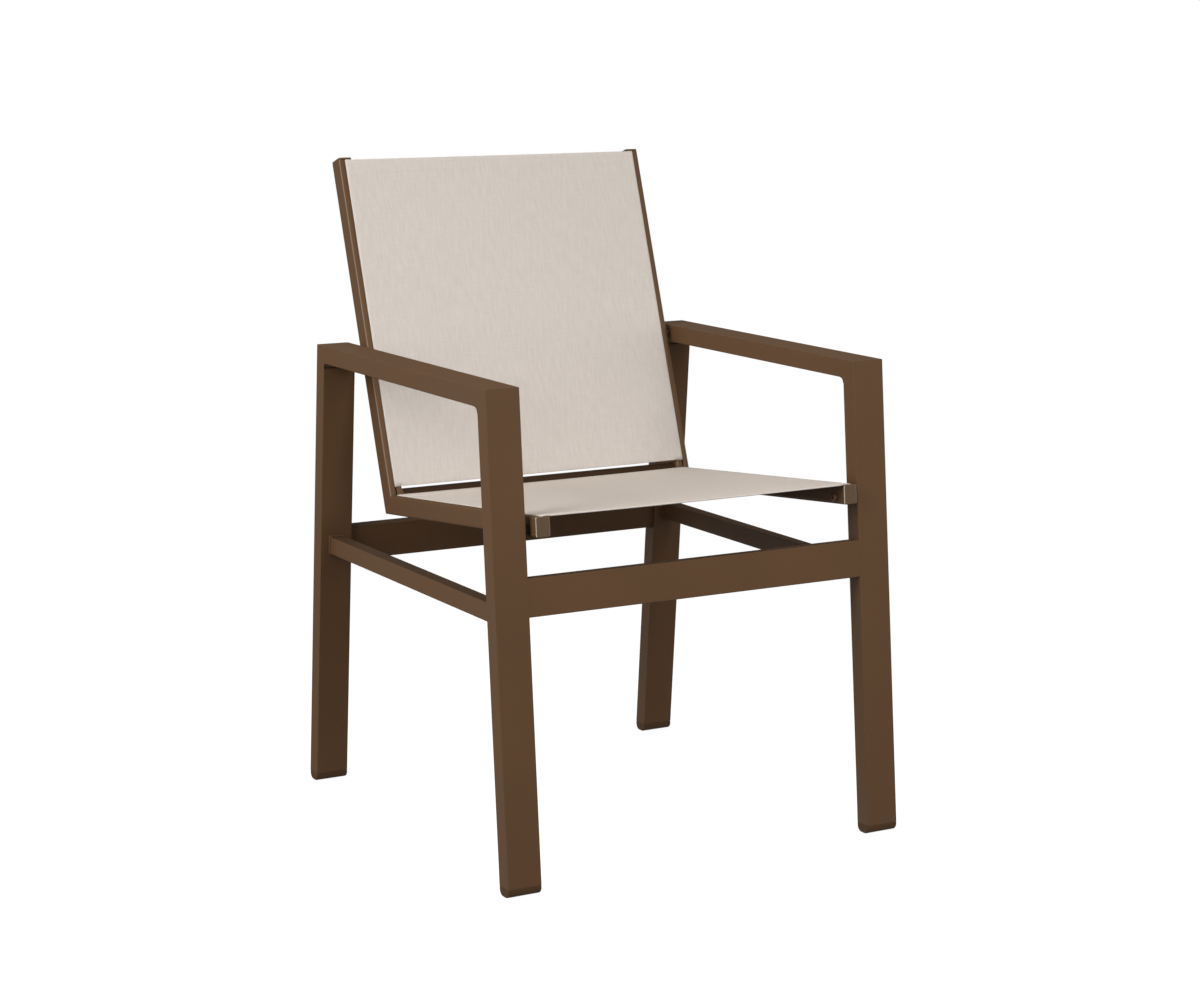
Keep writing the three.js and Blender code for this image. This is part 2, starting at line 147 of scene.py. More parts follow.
def blendColours(tree, factor, a, b, place=(0, 0)):
    node = addNode(tree, "ShaderNodeMix", place, data_type="RGBA")
    feed(tree, factor, node.inputs[0])
    feed(tree, a, node.inputs[6])
    feed(tree, b, node.inputs[7])
    return node.outputs[2]


def remap(tree, value, fromLow, fromHigh, toLow, toHigh, place=(0, 0)):
    node = addNode(tree, "ShaderNodeMapRange", place)
    for socket, item in zip(node.inputs, (value, fromLow, fromHigh, toLow, toHigh)):
        feed(tree, item, socket)
    return node.outputs[0]


def noiseAt(tree, vector, scale, detail, place=(0, 0)):
    node = addNode(tree, "ShaderNodeTexNoise", place)
    tree.links.new(vector, node.inputs["Vector"])
    feed(tree, scale, node.inputs["Scale"])
    node.inputs["Detail"].default_value = detail
    return node.outputs[0]


def newGroup(name, inputs, outputs):
    group = bpy.data.node_groups.new(name, "ShaderNodeTree")
    for label, kind, value in inputs:
        socket = group.interface.new_socket(name=label, in_out="INPUT", socket_type="NodeSocket" + kind)
        if value is not None:
            socket.default_value = value
    for label, kind in outputs:
        group.interface.new_socket(name=label, in_out="OUTPUT", socket_type="NodeSocket" + kind)
    return group, addNode(group, "NodeGroupInput", (-4, 0)), addNode(group, "NodeGroupOutput", (8, 0))


def placeGroup(tree, group, place, **values):
    node = addNode(tree, "ShaderNodeGroup", place, node_tree=group)
    for name, value in values.items():
        label = "".join(" " + letter if letter.isupper() else letter for letter in name)
        feed(tree, value, node.inputs[label[0].upper() + label[1:]])
    return node


def srgb(red, green, blue):
    # a colour as a paint chart gives it, 0 to 255
    def level(value):
        share = value / 255
        return share / 12.92 if share <= 0.04045 else ((share + 0.055) / 1.055) ** 2.4

    return (level(red), level(green), level(blue), 1)


# Shared effects

effects = {
    "noiseReach": (0.3, 0.7),  # most of a noise's values lie between these
    "turnReach": (0.99, 0.8),  # rounded normal against true one: wear starts, wear is full
    "wearPatches": (0.35, 0.65),
    "leastWear": 0.25,
    "swellScale": 0.3,
    "speckReach": (0.55, 0.75),
    "upwardReach": (0.4, 1.0),
    "filmScale": 35.0,
}


def makeEdgeWearAndHighlight():
    # lighter paint where a surface turns sharply: partly rubbed paint, partly a painted highlight along the
    # edges
    group, given, out = newGroup(
        "edgeWear",
        [
            ("Vector", "Vector", None),
            ("Color", "Color", None),
            ("Worn Color", "Color", None),
            ("Radius", "Float", 0.0015),
            ("Amount", "Float", 0.3),
            ("Patch Scale", "Float", 60.0),
        ],
        [("Color", "Color"), ("Mask", "Float")],
    )
    rounded = addNode(group, "ShaderNodeBevel", (-2, 1), samples=6)
    group.links.new(given.outputs["Radius"], rounded.inputs["Radius"])
    surface = addNode(group, "ShaderNodeNewGeometry", (-2, 2))
    turn = addNode(group, "ShaderNodeVectorMath", (-1, 1), operation="DOT_PRODUCT")
    group.links.new(rounded.outputs[0], turn.inputs[0])
    group.links.new(surface.outputs["Normal"], turn.inputs[1])
    edge = remap(group, turn.outputs["Value"], *effects["turnReach"], 0.0, 1.0, (0, 1))
    patches = noiseAt(group, given.outputs["Vector"], given.outputs["Patch Scale"], 4, (0, 2))
    patchy = remap(group, patches, *effects["wearPatches"], effects["leastWear"], 1.0, (1, 2))
    mask = calc(group, "MULTIPLY", edge, patchy, (2, 1))
    mask = calc(group, "MULTIPLY", mask, given.outputs["Amount"], (3, 1), clamp=True)
    colour = blendColours(group, mask, given.outputs["Color"], given.outputs["Worn Color"], (4, 0))
    group.links.new(colour, out.inputs["Color"])
    group.links.new(mask, out.inputs["Mask"])
    return group


def makeFineGrain():
    # the orange peel of powder coat, or the spark-eroded grain of a moulding
    group, given, out = newGroup(
        "fineGrain",
        [("Vector", "Vector", None), ("Grain Scale", "Float", 900.0), ("Cloud Scale", "Float", 9.0)],
        [("Height", "Float"), ("Cloud", "Float"), ("Speck", "Float")],
    )
    vector, scale = given.outputs["Vector"], given.outputs["Grain Scale"]
    grain = noiseAt(group, vector, scale, 2, (0, 0))
    coarse = calc(group, "MULTIPLY", scale, effects["swellScale"], (-1, 1))
    swell = noiseAt(group, vector, coarse, 1, (0, 1))
    height = calc(group, "ADD", grain, swell, (1, 0))
    cloud = noiseAt(group, vector, given.outputs["Cloud Scale"], 3, (0, 2))
    group.links.new(height, out.inputs["Height"])
    group.links.new(cloud, out.inputs["Cloud"])
    specks = remap(group, grain, *effects["speckReach"], 0.0, 1.0, (2, 1))
    group.links.new(specks, out.inputs["Speck"])
    return group


def makeDustAndShade():
    # a thin, uneven film on what faces up: dust, and on the rails and aprons below the seat a dark painted
    # shade
    group, given, out = newGroup(
        "settledDustAndShade",
        [("Vector", "Vector", None), ("Amount", "Float", 0.1), ("Patchiness", "Float", 0.6)],
        [("Mask", "Float")],
    )
    surface = addNode(group, "ShaderNodeNewGeometry", (-2, 1))
    split = addNode(group, "ShaderNodeSeparateXYZ", (-1, 1))
    group.links.new(surface.outputs["Normal"], split.inputs[0])
    upward = remap(group, split.outputs[2], *effects["upwardReach"], 0.0, 1.0, (0, 1))
    thinnest = calc(group, "SUBTRACT", 1.0, given.outputs["Patchiness"], (0, 3))
    patches = noiseAt(group, given.outputs["Vector"], effects["filmScale"], 5, (0, 2))
    film = remap(group, patches, *effects["noiseReach"], thinnest, 1.0, (1, 2))
    mask = calc(group, "MULTIPLY", upward, film, (2, 1))
    mask = calc(group, "MULTIPLY", mask, given.outputs["Amount"], (3, 1))
    group.links.new(mask, out.inputs["Mask"])
    return group


yarn = {  # each pair is for the warp and the weft
    "rise": 0.45,  # from where it dips under to where it passes over
    "low": (0.55, 0.3),
    "gapReach": (0.1, 0.4),
    "toneSpread": 0.73,
    "toneRun": (0.03, 0.05),  # how far one yarn keeps its tone
    "toneSeed": (3, 7),
    "toneShare": (0.3, 0.1),
    "slubScale": ((330, 38, 1), (42, 360, 1)),
    "slubShare": (0.4, 0.2),
}


def makeSlingWeave():
    # coated yarns, x across the sling and y along it, each yarn a little lighter or darker than the next
    group, given, out = newGroup(
        "slingWeave",
        [("Vector", "Vector", None), ("Warp Pitch", "Float", 0.00055), ("Weft Pitch", "Float", 0.0008)],
        [("Tone", "Float"), ("Height", "Float"), ("Gap", "Float")],
    )
    split = addNode(group, "ShaderNodeSeparateXYZ", (-3, 0))
    group.links.new(given.outputs["Vector"], split.inputs[0])
    across, along = split.outputs[0], split.outputs[1]
    counts = [
        calc(group, "DIVIDE", across, given.outputs["Warp Pitch"], (-2, 0)),
        calc(group, "DIVIDE", along, given.outputs["Weft Pitch"], (-2, 1)),
    ]
    numbers = [calc(group, "FLOOR", count) for count in counts]
    over = calc(group, "PINGPONG", calc(group, "ADD", *numbers), 1.0)
    passing = (over, calc(group, "SUBTRACT", 1.0, over))
    parts, shades, slubs = [], [], []
    for i in (0, 1):
        bulge = calc(group, "ABSOLUTE", calc(group, "SINE", calc(group, "MULTIPLY", counts[i], math.pi)))
        level = calc(group, "ADD", calc(group, "MULTIPLY", passing[i], yarn["rise"]), yarn["low"][i])
        parts.append(calc(group, "MULTIPLY", bulge, level))
        # one yarn keeps its tone for a while along its own length
        joined = addNode(group, "ShaderNodeCombineXYZ", (1, i))
        group.links.new(calc(group, "MULTIPLY", numbers[i], yarn["toneSpread"]), joined.inputs[0])
        group.links.new(calc(group, "DIVIDE", (along, across)[i], yarn["toneRun"][i]), joined.inputs[1])
        joined.inputs[2].default_value = yarn["toneSeed"][i]
        tone = noiseAt(group, joined.outputs[0], 1.0, 1, (2, i))
        shades.append(calc(group, "MULTIPLY", tone, yarn["toneShare"][i]))
        # and has thicker stretches, long in the same direction
        stretched = addNode(group, "ShaderNodeMapping", (1, 3 + i))
        group.links.new(given.outputs["Vector"], stretched.inputs["Vector"])
        stretched.inputs["Scale"].default_value = yarn["slubScale"][i]
        slub = noiseAt(group, stretched.outputs[0], 1.0, 2, (2, 3 + i))
        slubs.append(calc(group, "MULTIPLY", slub, yarn["slubShare"][i]))
    height = calc(group, "MAXIMUM", *parts)
    gap = remap(group, height, *yarn["gapReach"], 1.0, 0.0)
    tone = calc(group, "ADD", calc(group, "ADD", *shades), calc(group, "ADD", *slubs))
    group.links.new(tone, out.inputs["Tone"])
    group.links.new(height, out.inputs["Height"])
    group.links.new(gap, out.inputs["Gap"])
    return group


edgeWear = makeEdgeWearAndHighlight()
fineGrain = makeFineGrain()
settledDustAndShade = makeDustAndShade()
slingWeave = makeSlingWeave()


# Materials


def emptyMaterial(name):
    material = bpy.data.materials.new(name)
    material.use_nodes = True
    tree = material.node_tree
    tree.nodes.clear()
    return material, tree, addNode(tree, "ShaderNodeOutputMaterial", (9, 0))


def newMaterial(name):
    material, tree, output = emptyMaterial(name)
    shader = addNode(tree, "ShaderNodeBsdfPrincipled", (7, 0))
    tree.links.new(shader.outputs[0], output.inputs[0])
    place = addNode(tree, "ShaderNodeTexCoord", (-4, 0)).outputs["Object"]
    return material, tree, shader, place


def bumpFrom(tree, height, distance, shader):
    bump = addNode(tree, "ShaderNodeBump", (6, 2))
    bump.inputs["Distance"].default_value = distance
    tree.links.new(height, bump.inputs["Height"])
    tree.links.new(bump.outputs[0], shader.inputs["Normal"])


coat = {
    "cornerNormal": 0.72,  # the normal's sideways part halfway round a corner
    "patchiness": 0.6,
    "dustRoughness": 0.3,
    "dustAndShadeColour": srgb(150, 138, 124),
    "mirrorReach": (0.42, 0.85),
}


def coatedFinish(name, look):
    # a painted, moulded or turned surface: clouded colour, fine grain, rubbed edges that partly stand as
    # painted highlight, and a film of dust that below the seat is painted shade
    material, tree, shader, place = newMaterial(name)
    grain = placeGroup(
        tree, fineGrain, (-2, 1), vector=place, grainScale=look["grainScale"], cloudScale=look["cloudScale"]
    )
    clouds = remap(tree, grain.outputs["Cloud"], *effects["noiseReach"], 0.0, 1.0, (-1, 0))
    colour = blendColours(tree, clouds, look["colour"], look["cloudColour"], (0, 0))
    specks = calc(tree, "MULTIPLY", grain.outputs["Speck"], look["speck"], (0, 2))
    colour = blendColours(tree, specks, colour, look["speckColour"], (1, 0))
    wearAndHighlightInputs = {"wornColor": look["wornAndHighlightColour"], "radius": look["wearRadius"], "amount": look["wear"]}
    colour = placeGroup(tree, edgeWear, (2, 0), vector=place, color=colour, **wearAndHighlightInputs).outputs["Color"]
    if "rubbed" in look:
        # painted highlight: rounded corners are lightened where the normal is between x and the faces
        surface = addNode(tree, "ShaderNodeNewGeometry", (0, 4))
        split = addNode(tree, "ShaderNodeSeparateXYZ", (1, 4))
        tree.links.new(surface.outputs["Normal"], split.inputs[0])
        sideways = calc(tree, "ABSOLUTE", split.outputs[0], place=(2, 4))
        away = calc(tree, "SUBTRACT", sideways, coat["cornerNormal"], (2, 5))
        away = calc(tree, "ABSOLUTE", away, place=(3, 5))
        paintedHighlightMask = remap(tree, away, *look["rubbedReach"], look["rubbed"], 0.0, (4, 5))
        colour = blendColours(tree, paintedHighlightMask, colour, look["rubbedColour"], (3, 0))
    patchiness = look.get("patchiness", coat["patchiness"])
    dust = placeGroup(tree, settledDustAndShade, (2, 2), vector=place, amount=look["dust"], patchiness=patchiness)
    dustAndShadeColour = look.get("dustAndShadeColour", coat["dustAndShadeColour"])
    colour = blendColours(tree, dust.outputs["Mask"], colour, dustAndShadeColour, (4, 0))
    tree.links.new(colour, shader.inputs["Base Color"])
    rough = remap(tree, grain.outputs["Cloud"], *effects["noiseReach"], *look["roughness"], (3, 2))
    dull = calc(tree, "MULTIPLY", dust.outputs["Mask"], coat["dustRoughness"], (4, 3))
    rough = calc(tree, "ADD", rough, dull, (5, 2))
    # the grain scatters what would mirror at a flat angle
    flat = addNode(tree, "ShaderNodeLayerWeight", (3, 4)).outputs["Facing"]
    scattered = remap(tree, flat, *coat["mirrorReach"], 0.0, look["scatter"], (4, 4))
    rough = calc(tree, "ADD", rough, scattered, (6, 3), clamp=True)
    tree.links.new(rough, shader.inputs["Roughness"])
    bumpFrom(tree, grain.outputs["Height"], look["grainDepth"], shader)
    shader.inputs["Specular IOR Level"].default_value = look["shine"]
    shader.inputs["Metallic"].default_value = look.get("metal", 0.0)
    return material


def tones(*colours):
    # the colour, its clouds, its specks and its rubbed edges
    kinds = ("colour", "cloudColour", "speckColour", "wornAndHighlightColour")
    return {kind: srgb(*colour) for kind, colour in zip(kinds, colours)}


framePaintLook = {
    **tones((91, 66, 44), (95, 69, 46), (106, 81, 58), (112, 87, 64)),
    "speck": 0.1,
    "wear": 0.14,
    "wearRadius": 0.0008,
    "grainScale": 950.0,
    "grainDepth": 0.000012,
    "cloudScale": 7.0,
    "roughness": (0.38, 0.44),
    "scatter": 0.55,
    "shine": 0.1,
    "dust": 0.02,
}
# painted shade: the rails and aprons below the seat, and their welds, get a dark film on their upward faces
# that stands for the seat's shade
underSeatShadeLook = {**framePaintLook, "dust": 0.65, "patchiness": 0.25, "dustAndShadeColour": srgb(52, 38, 28)}
# painted highlight: the caps' pale worn edges and pale corner lines stand for light caught on their rounded
# edges
paintedHighlightCapLook = {
    **tones((84, 63, 42), (89, 67, 45), (112, 93, 68), (160, 146, 128)),
    "speck": 0.3,
    "wear": 0.35,
    "wearRadius": 0.0009,
    "grainScale": 1500.0,
    "grainDepth": 0.00002,
    "cloudScale": 40.0,
    "roughness": (0.3, 0.38),
    "scatter": 0.35,
    "shine": 0.25,
    "dust": 0.04,
    "rubbed": 0.85,
    "rubbedReach": (0.22, 0.27),
    "rubbedColour": srgb(190, 178, 162),
}
looks = {
    "framePaint": framePaintLook,
    "underSeatShadePaint": underSeatShadeLook,
    "underSeatShadeWeldPaint": {**underSeatShadeLook, "wear": 0.02},
    "railPaintWithPaintedHighlight": {
        **framePaintLook,
        # painted highlight: a pale line along the back rails' rounded outer corners
        "rubbed": 0.75,
        "rubbedReach": (0.1, 0.26),
        "rubbedColour": srgb(134, 114, 98),
    },
    "capPlastic": paintedHighlightCapLook,
    "topCapPlastic": {  # the back rails' caps get almost none of the painted highlight on their edges
        **paintedHighlightCapLook,
        "colour": srgb(80, 59, 39),
        "cloudColour": srgb(84, 62, 41),
        "wear": 0.08,
        "rubbed": 0.08,
    },
    "footPlastic": {
        **tones((75, 54, 34), (79, 56, 36), (100, 77, 57), (104, 84, 66)),
        "speck": 0.2,
        "wear": 0.12,
        "wearRadius": 0.0008,
        "grainScale": 1300.0,
        "grainDepth": 0.00002,
        "cloudScale": 30.0,
        "roughness": (0.48, 0.56),
        "scatter": 0.4,
        "shine": 0.1,
        "dust": 0.03,
    },
    "boltPaint": {
        **tones((82, 58, 39), (88, 62, 42), (108, 85, 64), (118, 96, 75)),
        "speck": 0.15,
        "wear": 0.25,
        "wearRadius": 0.0004,
        "grainScale": 1800.0,
        "grainDepth": 0.000008,
        "cloudScale": 90.0,
        "roughness": (0.34, 0.42),
        "scatter": 0.4,
        "shine": 0.2,
        "dust": 0.02,
    },
    # painted shade: the spreaders take a darker copy of the frame paint, for the shade they sit in between
    # the slings
    "spreaderShadePaint": {
        **framePaintLook,
        **tones((55, 38, 24), (58, 41, 27), (72, 54, 38), (84, 64, 47)),
        "roughness": (0.46, 0.52),
        "scatter": 0.4,
        "shine": 0.04,
        "dust": 0.03,
        "dustAndShadeColour": srgb(120, 108, 96),
    },
    "spacerPlastic": {
        **tones((30, 22, 16), (34, 25, 18), (52, 41, 32), (62, 50, 40)),
        "speck": 0.2,
        "wear": 0.15,
        "wearRadius": 0.0005,
        "grainScale": 1600.0,
        "grainDepth": 0.000015,
        "cloudScale": 80.0,
        "roughness": (0.5, 0.6),
        "scatter": 0.3,
        "shine": 0.05,
        "dust": 0.02,
    },
    "rodPlastic": {
        **tones((214, 210, 202), (222, 218, 210), (196, 190, 180), (232, 228, 222)),
        "speck": 0.2,
        "wear": 0.2,
        "wearRadius": 0.0005,
        "grainScale": 1400.0,
        "grainDepth": 0.00001,
        "cloudScale": 40.0,
        "roughness": (0.5, 0.58),
        "scatter": 0.3,
        "shine": 0.4,
        "dust": 0.02,
        "dustAndShadeColour": srgb(170, 160, 148),
    },
    "insertSteel": {
        **tones((150, 148, 142), (162, 160, 154), (120, 112, 100), (196, 194, 188)),
        "speck": 0.3,
        "wear": 0.5,
        "wearRadius": 0.0004,
        "grainScale": 1700.0,
        "grainDepth": 0.000012,
        "cloudScale": 120.0,
        "roughness": (0.3, 0.42),
        "scatter": 0.2,
        "shine": 0.5,
        "metal": 0.9,
        "dust": 0.0,
    },
}
finishes = {name: coatedFinish(name, look) for name, look in looks.items()}

fabric = {
    "toneReach": (0.38, 0.62),
    "patchiness": 0.2,
    "roughness": (0.82, 0.66),  # in the gaps, on the yarns
    "shine": 0.15,
    "sheen": 0.03,
    "sheenRoughness": 0.5,
}


def clothFinish(name, look):
    material, tree, shader, place = newMaterial(name)
    weave = placeGroup(tree, slingWeave, (-2, 0), vector=place)
    tone = remap(tree, weave.outputs["Tone"], *fabric["toneReach"], 0.0, 1.0, (0, 0))
    colour = blendColours(tree, tone, look["darkYarn"], look["lightYarn"], (1, 0))
    hollow = calc(tree, "MULTIPLY", weave.outputs["Gap"], look["gapDepth"], (1, 2))
    colour = blendColours(tree, hollow, colour, look["gapColour"], (2, 0))
    clouds = noiseAt(tree, place, look["cloudScale"], 3, (0, 3))
    faded = remap(tree, clouds, *effects["noiseReach"], 0.0, look["cloud"], (1, 3))
    colour = blendColours(tree, faded, colour, look["cloudColour"], (3, 0))
    patchiness = fabric["patchiness"]
    dust = placeGroup(tree, settledDustAndShade, (3, 1), vector=place, amount=look["dust"], patchiness=patchiness)
    colour = blendColours(tree, dust.outputs["Mask"], colour, look["dustAndShadeColour"], (4, 0))
    tree.links.new(colour, shader.inputs["Base Color"])
    rough = remap(tree, weave.outputs["Height"], 0.0, 1.0, *fabric["roughness"], (3, 2))
    tree.links.new(rough, shader.inputs["Roughness"])
    bumpFrom(tree, weave.outputs["Height"], look["weaveDepth"], shader)
    shader.inputs["Specular IOR Level"].default_value = fabric["shine"]
    shader.inputs["Sheen Weight"].default_value = fabric["sheen"]
    shader.inputs["Sheen Roughness"].default_value = fabric["sheenRoughness"]
    return material


clothLooks = {
    "slingClothFinish": {
        "darkYarn": srgb(200, 191, 183),
        "lightYarn": srgb(210, 202, 195),
        "gapColour": srgb(150, 138, 126),
        "gapDepth": 0.3,
        "cloudColour": srgb(202, 192, 181),
        "cloudScale": 14.0,
        "cloud": 0.15,
        "weaveDepth": 0.00008,
        # a warmer, paler tone on upward faces, so the seat is warmer than the back
        "dust": 0.38,
        "dustAndShadeColour": srgb(222, 205, 187),
    },
    "threadFinish": {
        "darkYarn": srgb(196, 187, 176),
        "lightYarn": srgb(212, 204, 194),
        "gapColour": srgb(160, 148, 136),
        "gapDepth": 0.2,
        "cloudColour": srgb(200, 190, 180),
        "cloudScale": 60.0,
        "cloud": 0.2,
        "weaveDepth": 0.00004,
        # a warmer tone on upward faces, as on the cloth
        "dust": 0.4,
        "dustAndShadeColour": srgb(196, 178, 160),
    },
}
finishes.update({name: clothFinish(name, look) for name, look in clothLooks.items()})
print("materials made")

finishOf = {
    "leg": "framePaint",
    "arm": "framePaint",
    "apron": "underSeatShadePaint",
    "rail": "framePaint",
    "side_rail": "underSeatShadePaint",
    "back_rail": "railPaintWithPaintedHighlight",
    "spreader": "spreaderShadePaint",
    "cap": "capPlastic",
    "back_rail_cap": "topCapPlastic",
    "foot": "footPlastic",
    "rod": "rodPlastic",
    "spacer": "spacerPlastic",
    "nut_insert": "insertSteel",
    "bolt": "boltPaint",
    "sling": "slingClothFinish",
}
for nodeName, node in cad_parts.items():
    # the last word that fits wins, so that a rail's cap isn't a rail
    fitting = [name for word, name in finishOf.items() if word in nodeName]
    node.material_slots[0].material = finishes[fitting[-1]]


# Pieces


def newPiece(name, mesh, finish, matrix=None):
    piece = bpy.data.objects.new(name, mesh)
    if matrix is not None:
        piece.matrix_world = matrix
    bpy.context.scene.collection.objects.link(piece)
    mesh.materials.append(finishes[finish])
    for face in mesh.polygons:
        face.use_smooth = True
    bpy.context.view_layer.update()
    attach(piece, "root")
    return piece


def bandFaces(near, far, count, turn=0):
    # between two rings of points, given by their first points
    turned = [far + (k + turn) % count for k in range(count + 1)]
    return [(near + k, near + (k + 1) % count, turned[k + 1], turned[k]) for k in range(count)]


def meshFrom(name, points, faces):
    mesh = bpy.data.meshes.new(name)
    mesh.from_pydata([tuple(point) for point in points], [], faces)
    mesh.update()
    return mesh


# Slings: one cut of cloth each, hemmed at both free ends, its sides turned down the slots and round the rods

sling = {
    "thickness": 0.0009,
    "lift": 0.0008,  # middle of the cloth above the rail's face
    "edgeSteps": 3,
    "turnRadius": 0.0022,
    "turnSteps": 5,
    "neckOffset": 0.00075,
    "sleeveRadius": 0.003,
    "sleeveDepth": 0.0053,
    "sleeveSteps": 18,
    "flap": (-0.0016, -0.0008),  # it ends under the turn that it is sewn to
    "hem": 0.022,
    "hemReach": 0.222,
    "hemSteps": 4,
    "noseRun": 0.004,
    "foldRadius": 0.00055,
    "foldSteps": 5,
    "sag": 0.0008,
    "pucker": 0.00012,
    "puckerLength": 0.034,
    "puckerStart": 0.75,
    "puckerDrift": 2.4,
    "driftScale": (3, 9),
    "columns": 60,
    "rowLength": 0.0075,
    "seatEnds": (0.0008, 0.0006),  # how far each sling stops short of its rails' ends
    "backEnds": (0.0124, 0.0036),
}


def acrossProfile():
    # x and z of the cloth's middle, from the flap inside one slot to the flap inside the other
    slot, radius, lift = chair["railCentreX"], sling["turnRadius"], sling["lift"]
    turnX = slot + sling["neckOffset"] - radius
    reach, steps = sling["hemReach"], sling["edgeSteps"]
    right = [(reach + step * (turnX - reach) / steps, lift) for step in range(1, steps + 1)]
    for step in range(1, sling["turnSteps"] + 1):
        angle = math.pi / 2 * (1 - step / sling["turnSteps"])
        right.append((turnX + radius * math.cos(angle), lift - radius + radius * math.sin(angle)))
    radius = sling["sleeveRadius"]
    start = math.acos(sling["neckOffset"] / radius)
    sweep = 2 * math.pi - 2 * (math.pi / 2 - start)
    for step in range(sling["sleeveSteps"] + 1):
        angle = start - sweep * step / sling["sleeveSteps"]
        right.append((slot + radius * math.cos(angle), -sling["sleeveDepth"] + radius * math.sin(angle)))
    right += [(slot - sling["neckOffset"], z) for z in sling["flap"]]
    panel = [(-reach + 2 * reach * i / sling["columns"], lift) for i in range(sling["columns"] + 1)]
    return [(-x, z) for x, z in reversed(right)] + panel + right, len(right)


def clothRise(x, v):
    # a taut cloth still hangs a little between the rails, and pulls in small waves at its sleeves
    share = min(abs(x) / sling["hemReach"], 1.0)
    hang = -sling["sag"] * (1 - share * share)
    near = max(0.0, (share - sling["puckerStart"]) / (1 - sling["puckerStart"]))
    scaleX, scaleV = sling["driftScale"]
    drift = sling["puckerDrift"] * noise.noise(Vector((x * scaleX, v * scaleV, 1)))
    wave = math.sin(2 * math.pi * v / sling["puckerLength"] + drift)
    return hang + sling["pucker"] * wave * near * (1 - near) * 4


def slingMesh(name, startV, stopV, profile, wrapped):
    rows = max(2, round((stopV - startV) / sling["rowLength"]))
    reach, noseRun, radius = sling["hemReach"], sling["noseRun"], sling["foldRadius"]
    noseDepth = radius + sling["thickness"] / 2
    points, faces = [], []
    for row in range(rows + 1):
        for x, z in profile:
            # the folded hem's nose and the plain edge over the rails end on one line
            nose = noseDepth * min(max((reach + noseRun - abs(x)) / noseRun, 0.0), 1.0)
            low, high = startV + nose, stopV - nose
            v = low + (high - low) * row / rows
            points.append((x, v, z + (clothRise(x, v) if z == sling["lift"] else 0.0)))
    count = len(profile)
    for row in range(rows):
        for first in range(row * count, row * count + count - 1):
            faces.append((first, first + 1, first + count + 1, first + count))
    # each end is folded under, and the hem lies flat against the panel
    steps = [(math.pi * step / sling["foldSteps"], 0.0) for step in range(1, sling["foldSteps"] + 1)]
    steps += [(math.pi, sling["hem"] * step / sling["hemSteps"]) for step in range(1, sling["hemSteps"] + 1)]
    for lastRow, outward in ((0, -1), (rows, 1)):
        firstEdge = lastRow * count + wrapped
        previous = list(range(firstEdge, firstEdge + sling["columns"] + 1))
        edge = [points[i] for i in previous]
        for angle, back in steps:
            current = []
            for x, v, z in edge:
                foldV = v + outward * (radius * math.sin(angle) - back)
                foldZ = z - radius * (1 - math.cos(angle))
                current.append(len(points))
                points.append((x, foldV, foldZ + (clothRise(x, foldV) - clothRise(x, v))))
            for i in range(len(previous) - 1):
                quad = (previous[i], previous[i + 1], current[i + 1], current[i])
                faces.append(quad if outward > 0 else quad[::-1])
            previous = current
    return meshFrom(name, points, faces)


def makeSling(name, startV, stopV, matrix):
    profile, wrapped = acrossProfile()
    mesh = slingMesh(name, startV, stopV, profile, wrapped)
    cloth = newPiece(name + "_cloth", mesh, "slingClothFinish", matrix)
    thick = cloth.modifiers.new("thickness", "SOLIDIFY")
    thick.thickness = sling["thickness"]
    thick.offset = 0
    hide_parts(name)

    stitching = makeStitching(name, startV, stopV, matrix)


stitch = {
    "length": 0.0026,
    "pitch": 0.0036,
    "radius": 0.00024,
    "sides": 6,
    "margin": 0.004,
    "fromHemEnd": 0.003,
    "sections": ((-0.95, 0.45), (-0.6, 0.95), (0.0, 1.05), (0.6, 0.95), (0.95, 0.45)),  # shares: place, size
    "bow": (0.35, 0.8),  # stands proud in the middle, sinks in at the ends
}


def addStitch(work, x, v, face):
    half, radius, sides = sling["thickness"] / 2, stitch["radius"], stitch["sides"]
    surface = sling["lift"] + clothRise(x, v)
    surface += half if face > 0 else -half - 2 * sling["foldRadius"]
    proud, sink = stitch["bow"]
    rings = []
    for share, size in stitch["sections"]:
        middle = surface + face * radius * (proud - sink * share * share)
        ring = []
        for k in range(sides):
            angle = 2 * math.pi * k / sides
            around, out = size * radius * math.cos(angle), size * radius * math.sin(angle)
            ring.append(work.verts.new((x + share * stitch["length"] / 2, v + around, middle + out)))
        rings.append(ring)
    for near, far in zip(rings, rings[1:]):
        for k in range(sides):
            work.faces.new((near[k], far[k], far[(k + 1) % sides], near[(k + 1) % sides]))
    work.faces.new(rings[0])
    work.faces.new(rings[-1][::-1])


def makeStitching(name, startV, stopV, matrix):
    # a lockstitch row along each hem, on the face and on the back
    work = bmesh.new()
    reach = sling["hemReach"] - stitch["margin"]
    inset = sling["hem"] - stitch["fromHemEnd"]
    for v in (startV + inset, stopV - inset):
        for face in (1, -1):
            for i in range(int(2 * reach / stitch["pitch"])):
                addStitch(work, -reach + (i + 0.5) * stitch["pitch"], v, face)
    bmesh.ops.recalc_face_normals(work, faces=work.faces)
    mesh = bpy.data.meshes.new(name + "_stitching")
    work.to_mesh(mesh)
    work.free()
    return newPiece(name + "_stitching", mesh, "threadFinish", matrix)


def slingPlace(origin, run, down):
    # x across, y along the rail, z out of the cloth's face
    matrix = Matrix((xAxis, run, -down)).transposed().to_4x4()
    matrix.translation = origin
    return matrix


(seatGap, seatEndGap), (backGap, backEndGap) = sling["seatEnds"], sling["backEnds"]
seatPlace, backPlace = slingPlace(seatFront, seatRun, seatDown), slingPlace(corner, backRun, backDown)
makeSling("seat_sling", seatGap, seatLength - seatEndGap, seatPlace)
makeSling("back_sling", backGap, chair["backLength"] - backEndGap, backPlace)
print("slings made")


# Welds: every joint of the frame is closed by a bead, ground flush where two faces run on

